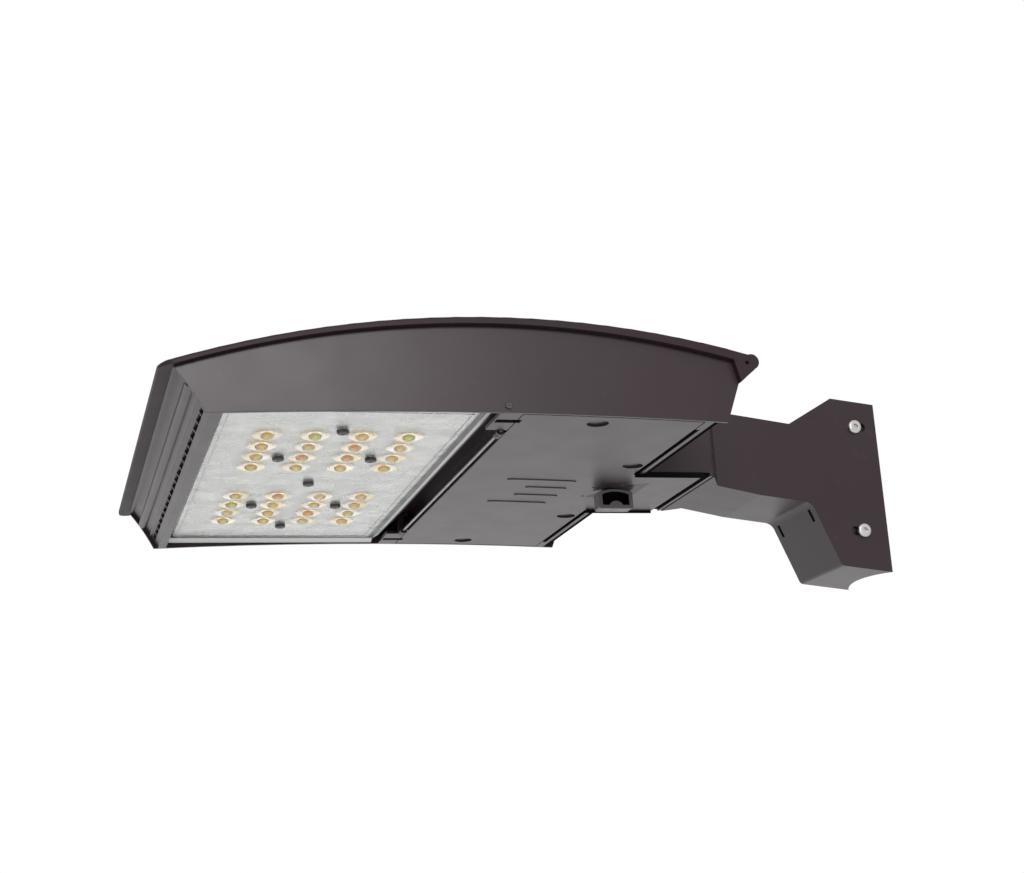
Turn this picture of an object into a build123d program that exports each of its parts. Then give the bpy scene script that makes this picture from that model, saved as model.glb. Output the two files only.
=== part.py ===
from build123d import *
import math

# Pole-mounted LED area light: an arched head on a short arm.
# Lengths are in millimetres. Shapes are drawn in the head's own frame, with the origin at the
# middle of the head's rear bottom corner, +X away from the pole and +Z up. save() then moves
# them so that the origin is the centre of the bracket's pole face.

# Overall sizes
head_length = 440.0
head_width = 510.0
rim_rise = 4.9
arm_reach = 241.5
head_drop = 5.0

# Casting walls and general clearances
wall = 3.0
gap = 0.3
thread_gap = 0.05
running_gap = 0.08

# Arched cover: heights of its outer arc at the two noses and half way along the head
cover_rear_z = 59.6
cover_middle_z = 85.4
cover_front_z = 38.3
cover_rear_nose = 24.0
cover_front_nose = 36.4
cover_overhang = 6.4
cover_skin = 3.2
band_front = 4.9
band_middle = 6.2
band_rear = 8.8
band_width = 21.0
band_rear_x = -8.0
nose_drop = 7.4
nose_reach = 7.0
nose_under_drop = 12.8
nose_under_reach = 3.5
lip_edge = 2.4
lip_corner = 14.0
curl_hole_radius = 1.8
curl_hole_depth = 3.0
curl_hole_x = -19.8
curl_hole_z = 51.6

# Front and rear walls of the head
front_lean = 24.5
front_hollow = 1.5
front_recess = 4.5
rear_lean = 13.0
rear_wall_height = 34.6
rear_rim_depth = 15.3
rear_recess = 11.0
rear_plate_width = 24.0
rear_plate_gap = 0.9
front_rib_radius = 5.5
front_rib_height = 26.2
front_rib_sink = 1.3
front_bead_radius = 2.0
front_bead_height = 14.1
front_bead_sink = 0.9

# Air slots at the foot of the front wall
slot_pitch = 24.5
slot_count = 20
slot_length = 21.5
slot_low = 6.9
slot_high = 10.9

# Lens, boards and heat sink, counted upwards from the lens's lower face
lens_z = 9.0
lens_thickness = 3.0
lens_gasket_height = 3.0
lens_gasket_width = 5.0
board_thickness = 1.6
emitter_height = 1.0
sink_plate = 4.0
fin_thickness = 2.0
fin_count = 26
fin_margin = 27.0
fin_headroom = 2.0
bezel_front_inset = 12.5
bezel_side_width = 7.7
sink_front_inset = 10.0
board_inset = 5.4
board_split = 2.0

# Pale border that seals the lens's edge, and the low ridge moulded round the lens
border_edge_z = 6.0
border_thickness = 2.8
border_reach = 6.0
border_tip_rise = 3.0
crossbar_rise = 2.3
ridge_inset = 9.0
ridge_width = 2.0
ridge_height = 0.8

# Lens domes, one over each emitter
dome_radius = 13.5
dome_height = 4.0
dome_columns = 4
dome_rows = 4
column_pitch = 40.6
row_pitch = 35.0
first_row_y = 55.0
emitter_side = 7.0
emitter_cup_radius = 5.2

# Lens screws: one in the middle, one at each end and two at each quarter
lens_screw_end_y = 179.0
lens_screw_quarter_x = 41.5
lens_screw_quarter_y = 89.5
lens_head_radius = 5.3
lens_head_height = 3.3
lens_shank_radius = 2.5

# Hinge between the optical half and the driver door
hinge_x = 185.5
hinge_z = 5.0
hinge_rod_radius = 1.3
hinge_rod_length = 402.0
knuckle_radius = 3.4
knuckle_length = 7.0
knuckle_y = 186.0
bracket_y = 194.0
bracket_thickness = 5.0
bracket_width = 6.8
bracket_foot = 22.0
bracket_foot_width = 16.0
groove_roof_z = 27.0
groove_plate_y = 203.0
groove_plate_front_x = 200.0
groove_plate_gap = 0.9
partition_offset = 10.8
seal_wall_offset = 16.5
hinge_screw_reach = 15.4
hinge_screw_half = 4.5
knuckle_root = 4.0
knuckle_lift = 0.4

# Driver door
door_thickness = 3.0
door_front_gap = 5.5
door_side_gap = 1.7
door_rear_gap = 5.0
door_land_height = 9.0
door_land_width = 6.0
door_land_inset = 5.3
door_land_past_seal = 4.0
gasket_height = 2.7
gasket_side = 4.0
recess_radius = 9.5
recess_depth = 1.8
recess_boss_radius = 12.0
recess_boss_height = 2.3
recess_front_x = 109.0
recess_front_y = 231.0
recess_rear_x = 31.5
recess_rear_y = 102.5
end_slot_rear_x = 176.6
end_slot_front_x = 198.6
end_slot_width = 9.0
end_slot_y = 230.0
bulkhead_x = 53.0
seal_shelf_z = 12.0
seal_shelf_width = 14.0

# Neck box behind the head, closed below by the door's tongue
neck_half_width = 72.0
tongue_half_width = 73.0
tongue_gap = 6.5
tongue_side_gap = 2.0
neck_end_x = -58.0
neck_low_top = 46.0
neck_shoulder_x = -36.0
wire_hole_radius = 12.0
wire_hole_z = 52.0

# Latch
grip_x = -1.8
grip_length = 35.0
grip_front_y = 8.0
grip_depth = 15.0
grip_low = 16.8
grip_wall = 3.6
grip_crown = 2.6
grip_top = 2.0
grip_bar = 3.6
grip_round = 2.0
grip_bump_length = 14.0
grip_bump_height = 4.2
grip_bump_depth = 3.0
grip_clearance = 0.3
stem_x = 12.0
stem_length = 8.0
stem_width = 8.0
slide_half_width = 8.0
slide_thickness = 3.0
slide_z = 6.3
slide_front_x = 46.0
latch_travel = 6.0
keeper_height = 18.0
keeper_reach = 7.0
keeper_thickness = 2.0
keeper_half_width = 13.0
guide_length = 10.0
guide_inset = 18.0
guide_front_x = 36.5
guide_half_width = 22.0
guide_height = 9.0
guide_block_half_width = 12.0
guide_foot = 2.5
latch_shank = 1.5
latch_head_radius = 2.9
latch_head_height = 1.7
latch_screw_depth = 1.6
latch_hole_z = 1.0
latch_pad_side = 1.0
scoop_length = 64.0
scoop_width = 46.0
scoop_depth = 3.0
scoop_pad_y = -12.0
spring_radius = 2.6
spring_wire = 0.45
spring_turns = 12
spring_pitch = 1.5
spring_y = -15.5
spring_tab_x = 25.0
spring_post_radius = 1.6

# Driver gear
tray_thickness = 1.5
tray_z = 56.0
tray_rear_gap = 6.0
tray_front_gap = 7.0
tray_half_width = 200.0
tray_boss_radius = 6.0
tray_boss_inset = 9.0
driver_length = 220.0
driver_width = 68.0
driver_height = 36.0
driver_start_y = -30.0
driver_tab = 12.0
driver_tab_thickness = 2.0
driver_tab_half = 27.0
driver_tab_hole = 17.0
driver_round = 2.5
block_length = 34.0
block_width = 24.0
block_height = 18.0
block_gap = 22.0
terminal_bore = 2.0
terminal_depth = 6.0
terminal_row = 9.0
surge_length = 58.0
surge_width = 38.0
surge_height = 27.0
surge_gap = 24.0
surge_tab_half = 9.5
surge_round = 3.0
lead_radius = 1.4
lead_pitch = 6.0
lead_drop = 9.0
led_lead_drop = 14.4
led_lead_fin_gap = 20
led_lead_pitch = 5.0
led_lead_turn = 11.0
led_lead_inset = 20.0
grommet_radius = 9.0
grommet_bore = 7.5
grommet_flange = 11.5
grommet_flange_thickness = 2.0
entry_radius = 13.0
entry_bore = 9.5
entry_flange = 16.0
entry_y = -70.0
entry_z = 36.0

# Arm, drawn as its side view: corners are (distance from the pole end, height)
arm_half_width = 48.0
arm_wall = 3.5
arm_front_top_z = 72.5
arm_top_knee = (155.4, 69.4)
arm_top_notch = (95.3, 60.9)
arm_top_peak = (47.1, 88.3)
arm_pole_top_z = 82.5
arm_pole_bottom_z = -90.0
arm_heel = (54.0, -83.0)
arm_throat = (80.0, -19.5)
arm_under_knee = (133.2, -12.4)
arm_front_bottom_z = -0.5
arm_heel_round = 5.0
arm_throat_round = 12.0
arm_mouth_lip = 1.0
flare_length = 13.0
pole_radius = 98.4
drain_slot_length = 13.0
drain_slot_width = 5.0
drain_slot_y = 36.0
drain_slot_down = 11.5
neck_gasket_thickness = 1.5

# Pole bracket and its fasteners
saddle_thickness = 5.0
bracket_plate = 4.0
bracket_depth = 42.0
bracket_top_z = 74.0
bracket_bottom_z = -72.0
pole_bolt_spacing = 100.0
pole_bolt_hole = 5.5
pole_wire_hole = 15.0
pole_bolt_hole_depth = 15.0
side_bolt_upper = (24.3, 58.5)
side_bolt_lower = (26.8, -48.2)
side_slot_upper_shift = -4.0
side_slot_lower_shift = 4.0
side_slot_length = 17.5
side_slot_clearance = 0.4
side_bolt_radius = 4.0
side_bolt_head_radius = 7.0
side_bolt_head_height = 4.4
side_bolt_length = 20.0
side_bolt_socket = 2.9
nut_flats = 13.0
nut_height = 6.5
arm_bolt_radius = 3.0
arm_bolt_head_radius = 5.5
arm_bolt_head_height = 5.0
arm_bolt_socket = 2.4
arm_bolt_length = 11.0
arm_bolt_tip_gap = 0.5
arm_bolt_y = 55.0
arm_bolt_low_z = 14.0
arm_bolt_high_z = 38.0

# Ears inside the side walls, through which the cover's screws rise
cover_ear_width = 14.0
cover_ear_depth = 12.0
cover_ear_height = 8.0
cover_screw_rear_x = 36.0
cover_screw_middle_x = 118.0
cover_screw_front_x = 330.0

# Small fasteners
small_screw_depth = 9.0
keeper_screw_y = 8.0
keeper_screw_rise = 7.0
sink_screw_inset = 16.0
small_shank = 2.0
small_head_radius = 3.8
small_head_height = 2.2
screw_tip_gap = 0.5
screw_head_gap = 0.5
screw_end = 3.0
side_screw_offset = 8.0
side_screw_z = 10.5
side_screw_radius = 1.6
side_screw_head = 3.0
side_screw_head_height = 1.6
side_screw_length = 6.0

# Shares of a screw head: rounded edge, cross length, cross width and depth of a hex socket
pan_round_share = 0.45
cross_length_share = 1.1
cross_width_share = 0.2
bolt_round_share = 0.5
socket_floor_share = 0.45

# A length that is more than any part's, for cutting right through, and one that counts as none
far = 400.0
same_place = 0.01


def circle_through(a, b, c):
    """Centre and radius of the circle through three (x, z) points."""
    d = 2 * (a[0] * (b[1] - c[1]) + b[0] * (c[1] - a[1]) + c[0] * (a[1] - b[1]))
    squares = [point[0] ** 2 + point[1] ** 2 for point in (a, b, c)]
    x = (squares[0] * (b[1] - c[1]) + squares[1] * (c[1] - a[1]) + squares[2] * (a[1] - b[1])) / d
    z = (squares[0] * (c[0] - b[0]) + squares[1] * (a[0] - c[0]) + squares[2] * (b[0] - a[0])) / d
    return x, z, math.hypot(a[0] - x, a[1] - z)


def upper_arc_z(circle, x):
    """Height of an upward-bowed circle at x."""
    return circle[1] + math.sqrt(circle[2] ** 2 - (x - circle[0]) ** 2)


# Arcs that the casting, the cover and the door share
half_width = head_width / 2
inner_half = half_width - wall
middle_x = head_length / 2
rim_circle = circle_through((0, 0), (middle_x, rim_rise), (head_length, 0))
nose_x = head_length + cover_front_nose
cover_circle = circle_through((-cover_rear_nose, cover_rear_z), (middle_x, cover_middle_z),
                              (nose_x, cover_front_z))
front_top_x = head_length + front_lean
front_top_z = upper_arc_z(cover_circle, front_top_x) - band_front
seat_circle = circle_through((band_rear_x, upper_arc_z(cover_circle, band_rear_x) - band_rear),
                             (middle_x, cover_middle_z - band_middle), (front_top_x, front_top_z))


def rim_z(x):
    return upper_arc_z(rim_circle, x)


def cover_z(x):
    return upper_arc_z(cover_circle, x)


def seat_z(x):
    return upper_arc_z(seat_circle, x)


# Levels and stations worked out from the sizes above
lens_top = lens_z + lens_thickness
sink_z = lens_top + lens_gasket_height
sink_top = sink_z + sink_plate
board_z = sink_z - board_thickness
emitter_z = board_z - emitter_height
ledge_edge_z = border_edge_z + border_thickness
ledge_tip_z = lens_top + gap
crossbar_z = lens_z + crossbar_rise
partition_x = hinge_x + partition_offset
seal_wall_x = hinge_x - seal_wall_offset
door_front_x = hinge_x - door_front_gap
door_rear_x = rear_rim_depth + door_rear_gap
door_half = inner_half - door_side_gap
bezel_front_x = head_length - bezel_front_inset
sink_rear_x = partition_x + wall + gap
optic_rear_x = sink_rear_x + bezel_side_width
lens_rear_x = optic_rear_x + gap * 2
lens_front_x = bezel_front_x - gap * 2
lens_half = inner_half - bezel_side_width - gap * 2
rear_inside_x = wall + rear_recess
rear_slope = (rear_lean + rear_recess) / rear_wall_height
fin_pitch = (inner_half - fin_margin) * 2 / (fin_count - 1)
led_lead_y = (led_lead_fin_gap - fin_count / 2 + 1) * fin_pitch
neck_inner = neck_half_width - wall
neck_outer_end = neck_end_x - wall
arm_front_x = neck_outer_end - neck_gasket_thickness
tongue_end_x = neck_end_x + tongue_gap
slide_tip_x = neck_end_x + keeper_thickness + gap
guide_rear_x = neck_end_x + guide_inset
array_centre_x = (optic_rear_x + bezel_front_x) / 2
door_land_rear_x = bulkhead_x + wall + gap
door_land_front_x = seal_wall_x + wall + door_land_past_seal
door_land_half = door_half - door_land_inset
tray_rear_x = bulkhead_x + wall + tray_rear_gap
tray_front_x = seal_wall_x - tray_front_gap
driver_x = (tray_rear_x + tray_front_x) / 2
led_lead_z = tray_z - led_lead_drop
led_lead_end_x = sink_rear_x + led_lead_inset
pole_face_x = -arm_reach
pole_seat_depth = pole_radius - math.sqrt(pole_radius ** 2 - arm_half_width ** 2)
pole_end_x = pole_face_x - pole_seat_depth
pole_axis_x = pole_face_x - pole_radius
bracket_front_x = pole_end_x + bracket_depth
bracket_centre_z = head_drop


def block(x0, x1, y0, y1, z0, z1):
    return Pos((x0 + x1) / 2, (y0 + y1) / 2, (z0 + z1) / 2) * Box(x1 - x0, y1 - y0, z1 - z0)


def rod_x(radius, x0, x1, y, z):
    return Pos((x0 + x1) / 2, y, z) * Rot(0, 90, 0) * Cylinder(radius, x1 - x0)


def rod_y(radius, y0, y1, x, z):
    return Pos(x, (y0 + y1) / 2, z) * Rot(90, 0, 0) * Cylinder(radius, y1 - y0)


def rod_z(radius, z0, z1, x, y):
    return Pos(x, y, (z0 + z1) / 2) * Cylinder(radius, z1 - z0)


def arch_radius(span, rise):
    return (span ** 2 / 4 + rise ** 2) / (2 * rise)


def side_point(point):
    return (point[0], 0, point[1])


def line(a, b):
    return Line(side_point(a), side_point(b))


def arc(a, b, c):
    return ThreePointArc(side_point(a), side_point(b), side_point(c))


def side_face(edges):
    return Face(Wire(edges))


def side_polygon(points):
    corners = [side_point(point) for point in points]
    return Face(Wire(Polyline(*corners, close=True).edges()))


def along(points, x0, x1):
    """End-view polygon of (y, z) corners drawn out from x0 to x1."""
    corners = [(x0, point[0], point[1]) for point in points]
    outline = Polyline(*corners, close=True)
    return extrude(Face(Wire(outline.edges())), amount=x1 - x0, dir=(1, 0, 0))


def across(face, y0, y1):
    """Side-view face drawn out across the head from y0 to y1."""
    return extrude(Pos(0, y0, 0) * face, amount=y1 - y0, dir=(0, 1, 0))


def both_sides(shape):
    return [shape, mirror(shape, about=Plane.XZ)]


def pan_screw(radius, head_radius, head_height, length):
    """Screw with its head's seat at z = 0, its head above and its shank below."""
    head = Pos(0, 0, head_height / 2) * Cylinder(head_radius, head_height)
    head = fillet(head.edges().sort_by(Axis.Z)[-1], head_height * pan_round_share)
    shank = Pos(0, 0, -length / 2) * Cylinder(radius, length)
    bar = head_radius * cross_length_share
    width = bar * cross_width_share
    cross = Box(bar, width, head_height) + Box(width, bar, head_height)
    return head + shank - Pos(0, 0, head_height) * cross


def arc_slab(circle, x0, x1, below, above):
    """Side-view face between two offsets of a bowed circle, from x0 to x1."""
    mid = (x0 + x1) / 2
    low = [(x, upper_arc_z(circle, x) + below) for x in (x0, mid, x1)]
    high = [(x, upper_arc_z(circle, x) + above) for x in (x0, mid, x1)]
    return side_face([arc(*low), line(low[2], high[2]), arc(*high[::-1]), line(high[0], low[0])])


def seat_edges():
    """Shared line where the cover sits on the housing, from the rear wall to the front wall."""
    rear = (-rear_lean, rear_wall_height)
    shoulder = (band_rear_x, seat_z(band_rear_x))
    front = (front_top_x, front_top_z)
    return [line(rear, shoulder), arc(shoulder, (middle_x, seat_z(middle_x)), front)]


def front_curve(inset):
    """Front wall's hollow outline, moved back by inset."""
    low = (head_length - inset, 0)
    high = (front_top_x - inset, front_top_z)
    mid = ((low[0] + high[0]) / 2 - front_hollow, (low[1] + high[1]) / 2)
    return low, mid, high


def cover_profile():
    rear_top = (-cover_rear_nose, cover_z(-cover_rear_nose))
    rear_tip = (rear_top[0] - nose_reach, rear_top[1] - nose_drop)
    rear_under = (rear_top[0] - nose_under_reach, rear_top[1] - nose_under_drop)
    rear_seat = (-rear_lean, rear_wall_height)
    front_tip = (nose_x, cover_z(nose_x))
    front_edge = (nose_x - lip_edge / 2, front_tip[1] - lip_edge)
    return side_face([
        arc(rear_top, (middle_x, cover_z(middle_x)), front_tip),
        line(front_tip, front_edge),
        line(front_edge, (front_top_x, front_top_z)),
        *seat_edges(),
        line(rear_seat, rear_under),
        arc(rear_under, rear_tip, rear_top),
    ])


def make_top_cover():
    over = half_width + cover_overhang
    cover = across(cover_profile(), -over, over)
    pocket = arc_slab(cover_circle, 0, front_top_x - wall, -far / 4, -cover_skin)
    cover -= across(pocket, band_width - half_width, half_width - band_width)
    arcs = cover.edges().filter_by(GeomType.CIRCLE)
    rims = [edge for edge in arcs if edge.length > head_length and edge.center().Z > cover_front_z
            and abs(abs(edge.center().Y) - over) < same_place]
    tops = sorted(rims, key=lambda edge: edge.length)[-2:]
    cover = fillet(tops, lip_edge)
    plan = block(-far, nose_x, -over, over, 0, far)
    corners = plan.edges().filter_by(Axis.Z).sort_by(Axis.X)[-2:]
    cover = cover & fillet(corners, lip_corner)
    for side in (-1, 1):
        face_y = side * over
        inside_y = face_y - side * curl_hole_depth
        low, high = sorted((face_y, inside_y))
        cover -= rod_y(curl_hole_radius, low, high, curl_hole_x, curl_hole_z)
    for x, y in tray_points():
        boss = rod_z(tray_boss_radius, tray_z + tray_thickness, cover_z(x) - cover_skin / 2, x, y)
        cover += boss - rod_z(small_shank + thread_gap, tray_z, tray_z + small_screw_depth, x, y)
    for x, y in cover_screw_points():
        top = seat_z(x)
        cover -= rod_z(small_shank + thread_gap, top - wall, top + wall, x, y)
    notch = neck_half_width + gap
    return cover - block(neck_outer_end, rear_inside_x + gap, -notch, notch, 0, neck_low_top + gap)


def cover_screw_points():
    y = inner_half - cover_ear_depth / 2
    stations = (cover_screw_rear_x, cover_screw_middle_x, cover_screw_front_x)
    return [(x, side * y) for x in stations for side in (-1, 1)]


def tray_points():
    xs = (tray_rear_x + tray_boss_inset, tray_front_x - tray_boss_inset)
    y = tray_half_width - tray_boss_inset
    return [(x, side * y) for x in xs for side in (-1, 1)]


def housing_shell():
    low, mid, high = front_curve(0)
    outer = side_face([
        line((-rear_lean, rear_wall_height), (0, 0)),
        arc((0, 0), (middle_x, rim_rise), (head_length, 0)),
        arc(low, mid, high),
        *seat_edges(),
    ])
    shell = across(outer, -half_width, half_width)
    low, mid, high = front_curve(front_recess + wall)
    depth = wall * 3
    foot = (rear_inside_x + rear_slope * depth, -depth)
    knee = (wall - rear_lean, rear_wall_height)
    shoulder = (band_rear_x + wall, seat_z(band_rear_x))
    inner = side_face([
        line(foot, knee),
        line(knee, shoulder),
        line(shoulder, (shoulder[0], far)),
        line((shoulder[0], far), (high[0], far)),
        line((high[0], far), high),
        arc(high, mid, low),
        line(low, (low[0], -depth)),
        line((low[0], -depth), foot),
    ])
    recess = side_polygon([(rear_recess + rear_slope * wall, -wall), (-rear_lean, rear_wall_height),
                           (-rear_lean * 2, rear_wall_height), (-rear_lean * 2, -wall)])
    low, mid, high = front_curve(front_recess)
    ahead = front_top_x + front_recess
    face = side_face([arc(low, mid, high), line(high, (ahead, high[1])), line((ahead, high[1]), (ahead, 0)),
                      line((ahead, 0), low)])
    for cut in (inner, recess, face):
        shell -= across(cut, -inner_half, inner_half)
    return shell


def under_cover(shape):
    """What of a shape lies below the line where the cover sits."""
    low = arc_slab(seat_circle, 0, front_top_x, -far / 2, 0)
    return shape & across(low, -half_width, half_width)


def housing_front():
    """Ribs, bezel lip and air slots of the front wall."""
    low, mid, high = front_curve(front_recess)
    slope = (high[0] - low[0]) / (high[1] - low[1])
    parts = []
    for radius, height, sink in ((front_rib_radius, front_rib_height, front_rib_sink),
                                 (front_bead_radius, front_bead_height, front_bead_sink)):
        x = low[0] + slope * height - front_hollow - sink
        parts.append(rod_y(radius, -inner_half, inner_half, x, height))
    inside_x = bezel_front_x + wall
    lip_x = head_length - front_recess - wall / 2
    lip = side_polygon([
        (lip_x, rim_z(lip_x)), (bezel_front_x, rim_z(bezel_front_x)),
        (bezel_front_x, sink_z), (inside_x, sink_z), (inside_x, slot_low), (lip_x, slot_low),
    ])
    parts.append(across(lip, -inner_half, inner_half))
    return parts


def housing_slots():
    first = -(slot_count - 1) / 2 * slot_pitch
    inside_x = head_length - front_recess - wall - gap * 2
    slots = []
    for index in range(slot_count):
        y = first + index * slot_pitch
        slots.append(block(inside_x, front_top_x, y - slot_length / 2, y + slot_length / 2, slot_low,
                           slot_high))
    return slots


def groove_end():
    """Plate under one end of the hinge groove, beyond the end of the hinge."""
    low = rim_z(hinge_x)
    top = low + door_thickness
    plate = block(door_front_x + groove_plate_gap, groove_plate_front_x, groove_plate_y, inner_half + 1,
                  low, top)
    return plate - end_slot()


def end_slot():
    half = end_slot_width / 2
    return block(end_slot_rear_x, end_slot_front_x, end_slot_y - half, end_slot_y + half, 0,
                 door_thickness * 4)


def housing_ledges():
    """Side ledges beside the lens, crossbar behind it and the walls round the hinge groove."""
    side = along([(inner_half, ledge_edge_z), (inner_half - bezel_side_width, ledge_tip_z),
                  (inner_half - bezel_side_width, sink_z), (inner_half + 1, sink_z),
                  (inner_half + 1, ledge_edge_z)], optic_rear_x, bezel_front_x + 1)
    crossbar = side_polygon([
        (optic_rear_x, crossbar_z), (partition_x + 1, sink_z - 1), (partition_x, sink_z),
        (partition_x, sink_z + 1), (sink_rear_x - gap, sink_z + 1), (sink_rear_x - gap, sink_z),
        (optic_rear_x, sink_z),
    ])
    parts = both_sides(side) + [across(crossbar, -inner_half, inner_half)]
    parts += both_sides(groove_end())
    roof = groove_roof_z + wall
    width = (-inner_half, inner_half)
    parts.append(under_cover(block(partition_x, partition_x + wall, *width, sink_z, far / 4)))
    parts.append(block(seal_wall_x, partition_x + wall, *width, groove_roof_z, roof))
    parts.append(block(seal_wall_x, seal_wall_x + wall, *width, seal_shelf_z, roof))
    return parts


def housing_compartment():
    """Bulkhead, seal shelf, and the rear rim strips with a plate at each outer end."""
    width = (-inner_half, inner_half)
    shelf_top = seal_shelf_z + wall
    parts = [under_cover(block(bulkhead_x, bulkhead_x + wall, *width, seal_shelf_z, far / 4))]
    parts.append(block(bulkhead_x, bulkhead_x + seal_shelf_width, *width, seal_shelf_z, shelf_top))
    side = block(bulkhead_x, seal_wall_x + wall, inner_half - seal_shelf_width, inner_half,
                 seal_shelf_z, shelf_top)
    parts += both_sides(side)
    strip = arc_slab(rim_circle, rear_recess + gap, rear_rim_depth, 0, wall)
    plate = arc_slab(rim_circle, rear_recess + gap, door_rear_x - rear_plate_gap, 0, wall)
    parts += both_sides(across(strip, tongue_half_width + tongue_side_gap, inner_half))
    return parts + both_sides(across(plate, inner_half - rear_plate_width, inner_half))


def neck_top_points(low):
    """Side-view line of the neck's top, lowered by low."""
    return [(neck_outer_end, arm_front_top_z - low), (neck_shoulder_x, neck_low_top - low),
            (rear_inside_x, neck_low_top - low)]


def housing_neck():
    outer = side_polygon([(neck_outer_end, 0), *neck_top_points(0), (rear_inside_x, 0)])
    inner = side_polygon([(neck_end_x, -wall), (neck_end_x, arm_front_top_z - wall * 2),
                          *neck_top_points(wall)[1:], (rear_inside_x, -wall)])
    box = across(outer, -neck_half_width, neck_half_width)
    box -= across(inner, -neck_inner, neck_inner)
    clear_z = door_thickness + gap * 2
    return box - block(neck_end_x, rear_inside_x + 1, -neck_half_width, neck_half_width, -1, clear_z)


def make_housing():
    housing = housing_shell()
    opening_top = neck_low_top - wall
    housing -= block(-rear_lean - 1, rear_inside_x + 1, -neck_inner, neck_inner, -1, opening_top)
    tongue_clear = tongue_half_width + tongue_side_gap
    housing -= block(-rear_lean, rear_inside_x + 1, -tongue_clear, tongue_clear, -1,
                     door_thickness + gap * 2)
    housing += housing_neck()
    for piece in housing_front() + housing_ledges() + housing_compartment():
        housing += piece
    keep = block(neck_outer_end, front_top_x + far, -half_width, half_width, -wall, far)
    housing = housing & keep
    for slot in housing_slots():
        housing -= slot
    ear_low = cover_ear_height
    for x, y in cover_screw_points():
        ear = block(x - cover_ear_width / 2, x + cover_ear_width / 2, y - cover_ear_depth / 2,
                    y + cover_ear_depth / 2, seat_z(x) - ear_low * 2, far / 4)
        ear = under_cover(ear) - block(x - far, x + far, y - far, y + far, 0, seat_z(x) - ear_low)
        housing += ear
        housing -= rod_z(small_shank + gap, seat_z(x) - ear_low * 2, seat_z(x) + ear_low, x, y)
    for x, y in sink_screw_points():
        housing -= rod_z(small_shank + thread_gap, ledge_tip_z, sink_z, x, y)
    housing -= rod_x(grommet_radius, partition_x, partition_x + wall, led_lead_y, led_lead_z)
    housing -= rod_x(entry_radius, bulkhead_x, bulkhead_x + wall, entry_y, entry_z)
    housing -= rod_x(wire_hole_radius, neck_outer_end, neck_end_x, 0, wire_hole_z)
    for y, z in arm_bolt_points():
        housing -= rod_x(arm_bolt_radius + gap, neck_outer_end, neck_end_x, y, z)
    for x, y in hinge_screw_points():
        housing -= rod_z(small_shank + thread_gap, groove_roof_z, groove_roof_z + wall, x, y)
    for side in (-1, 1):
        low_y, high_y = sorted((side * inner_half, side * half_width))
        housing -= rod_y(side_screw_radius + thread_gap, low_y, high_y, hinge_x + side_screw_offset,
                         side_screw_z)
    for y, z in keeper_screw_points():
        housing -= rod_x(latch_shank + thread_gap, neck_outer_end, neck_end_x, y, z)
    return housing


def keeper_screw_points():
    z = slide_z + slide_thickness + keeper_screw_rise
    return [(side * keeper_screw_y, z) for side in (-1, 1)]


def sink_screw_points():
    y = inner_half - small_head_radius - screw_head_gap
    xs = (optic_rear_x + sink_screw_inset, (optic_rear_x + bezel_front_x) / 2,
          bezel_front_x - sink_screw_inset)
    return [(x, side * y) for x in xs for side in (-1, 1)]


def lens_screw_points():
    points = [(array_centre_x, 0)]
    for side in (-1, 1):
        points.append((array_centre_x, side * lens_screw_end_y))
        for way in (-1, 1):
            points.append((array_centre_x + way * lens_screw_quarter_x, side * lens_screw_quarter_y))
    return points


def emitter_points():
    points = []
    for column in range(dome_columns):
        x = array_centre_x + (column - (dome_columns - 1) / 2) * column_pitch
        for row in range(dome_rows):
            y = first_row_y + row * row_pitch
            points += [(x, y), (x, -y)]
    return points


def make_heat_sink():
    front = head_length - sink_front_inset
    sink = block(sink_rear_x, front, -inner_half + gap, inner_half - gap, sink_z, sink_top)
    first = -(fin_count - 1) / 2 * fin_pitch
    limit = across(arc_slab(cover_circle, 0, front_top_x, -far / 2, -cover_skin - fin_headroom),
                   -half_width, half_width)
    for index in range(fin_count):
        y = first + index * fin_pitch
        fin = block(sink_rear_x + wall, front, y - fin_thickness / 2, y + fin_thickness / 2,
                    sink_top, far / 4)
        sink += fin & limit
    for x, y in lens_screw_points():
        sink -= rod_z(lens_shank_radius + thread_gap, sink_z, sink_top, x, y)
    for x, y in sink_screw_points():
        sink -= rod_z(small_shank + gap, sink_z, sink_top, x, y)
    for y in led_lead_ys():
        sink -= rod_z(lead_radius + gap, sink_z, sink_top, led_lead_end_x, y)
    return sink


def make_sink_screws():
    length = sink_top - ledge_tip_z - screw_tip_gap
    screw = pan_screw(small_shank, small_head_radius, small_head_height, length)
    return [Pos(x, y, sink_top) * screw for x, y in sink_screw_points()]


def ring(inset, width, z0, z1):
    """Frame parallel to the lens's edge, set in from it."""
    outer = block(lens_rear_x + inset, lens_front_x - inset, inset - lens_half, lens_half - inset, z0, z1)
    inset += width
    return outer - block(lens_rear_x + inset, lens_front_x - inset, inset - lens_half,
                         lens_half - inset, z0, z1)


def make_lens_plate():
    plate = block(lens_rear_x, lens_front_x, -lens_half, lens_half, lens_z, lens_top)
    plate += ring(ridge_inset, ridge_width, lens_z - ridge_height, lens_z)
    ball = arch_radius(dome_radius * 2, dome_height)
    for x, y in emitter_points():
        dome = Pos(x, y, lens_z - dome_height + ball) * Sphere(ball)
        plate += dome & block(x - ball, x + ball, y - ball, y + ball, lens_z - dome_height, lens_z)
    for x, y in emitter_points():
        plate -= Pos(x, y, lens_top) * Sphere(emitter_cup_radius)
    for x, y in lens_screw_points():
        plate -= rod_z(lens_shank_radius + gap, lens_z, lens_top, x, y)
    return plate


def make_lens_gasket():
    return ring(0, lens_gasket_width, lens_top, sink_z)


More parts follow.
